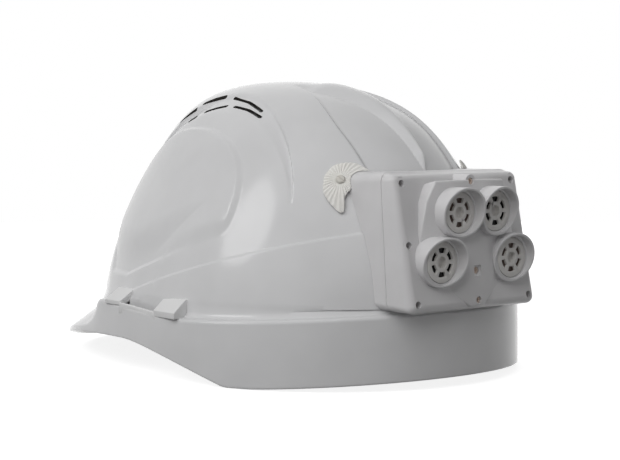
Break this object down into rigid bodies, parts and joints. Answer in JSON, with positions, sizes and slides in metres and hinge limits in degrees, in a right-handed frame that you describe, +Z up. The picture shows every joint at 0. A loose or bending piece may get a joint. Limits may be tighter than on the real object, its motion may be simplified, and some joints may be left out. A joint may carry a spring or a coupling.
{
  "type": "safety helmet",
  "caption": "White safety helmet with a front peak, side accessory slots, a ratchet harness and a box with round hooded sounders on its rear.",
  "frame": {"origin": "on the table under the middle of the dome, where the axis of the wearer's head meets the plane that the rim stands on", "axes": "+Z up, -Y forward over the peak, +Y to the rear where the box is, +X towards the wearer's left"},
  "size_m": [0.228, 0.3123, 0.161],
  "materials": {
    "shell_plastic": "glossy white moulded plastic",
    "box_plastic": "satin white printed or moulded plastic",
    "sounder_plastic": "satin light grey plastic",
    "coated_screw": "beige coated screw",
    "pleated_felt": "off-white pleated felt",
    "rivet_plastic": "off-white plastic",
    "harness_plastic": "dark grey flexible plastic",
    "knob_plastic": "black soft-touch plastic",
    "webbing": "grey woven webbing",
    "sweat_foam": "black padded cloth",
    "screw_steel": "zinc-plated steel",
    "board": "green circuit laminate",
    "switch_plastic": "black plastic",
    "cell_wrap": "blue-grey cell wrap",
    "button_rubber": "orange rubber",
    "socket_steel": "plated steel"
  },
  "bodies": {
    "helmet": {"shell": "shell_plastic", "front_band": "harness_plastic", "sweatband": "sweat_foam", "ratchet_back": "harness_plastic", "ratchet_cover": "harness_plastic", "ratchet_screws": "screw_steel", "nape_pad": "sweat_foam", "crown_strap_a": "webbing", "crown_strap_b": "webbing", "crown_pad": "sweat_foam", "front_left_clip": "harness_plastic", "front_right_clip": "harness_plastic", "rear_left_clip": "harness_plastic", "rear_right_clip": "harness_plastic", "box_tray": "box_plastic", "box_cover": "box_plastic", "circuit_board": "board", "button_switch": "switch_plastic", "battery": "cell_wrap", "cover_screws": "coated_screw", "tray_screws": "screw_steel", "upper_left_hood": "box_plastic", "upper_right_hood": "box_plastic", "lower_left_hood": "box_plastic", "lower_right_hood": "box_plastic", "upper_left_sounder": "sounder_plastic", "upper_right_sounder": "sounder_plastic", "lower_left_sounder": "sounder_plastic", "lower_right_sounder": "sounder_plastic", "left_pad": "pleated_felt", "right_pad": "pleated_felt", "pad_rivets": "rivet_plastic", "charge_socket": "socket_steel"},
    "knob": {"adjuster_knob": "knob_plastic", "ratchet_pinion": "harness_plastic"},
    "left_band": {"left_rear_band": "harness_plastic"},
    "right_band": {"right_rear_band": "harness_plastic"},
    "button": {"power_button": "button_rubber"}
  },
  "joints": [
    {"name": "knob_turn", "type": "hinge", "parent": "helmet", "child": "knob", "pos_m": [0, 0.12, 0.029], "axis": [0, 1, 0], "range_deg": [-130, 130]},
    {"name": "left_band_slide", "type": "hinge", "parent": "helmet", "child": "left_band", "pos_m": [0, 0.018, 0], "axis": [0, 0, 1], "range_deg": [-10, 10]},
    {"name": "right_band_slide", "type": "hinge", "parent": "helmet", "child": "right_band", "pos_m": [0, 0.018, 0], "axis": [0, 0, 1], "range_deg": [-10, 10]},
    {"name": "button_press", "type": "slide", "parent": "helmet", "child": "button", "axis": [1, 0, 0], "range_m": [0, 0.0012], "stiffness_N_per_m": 400, "springref_m": -0.0006}
  ],
  "couplings": [
    {"joint": "left_band_slide", "follows": "knob_turn", "ratio": 0.074813},
    {"joint": "right_band_slide", "follows": "knob_turn", "ratio": -0.074813}
  ]
}
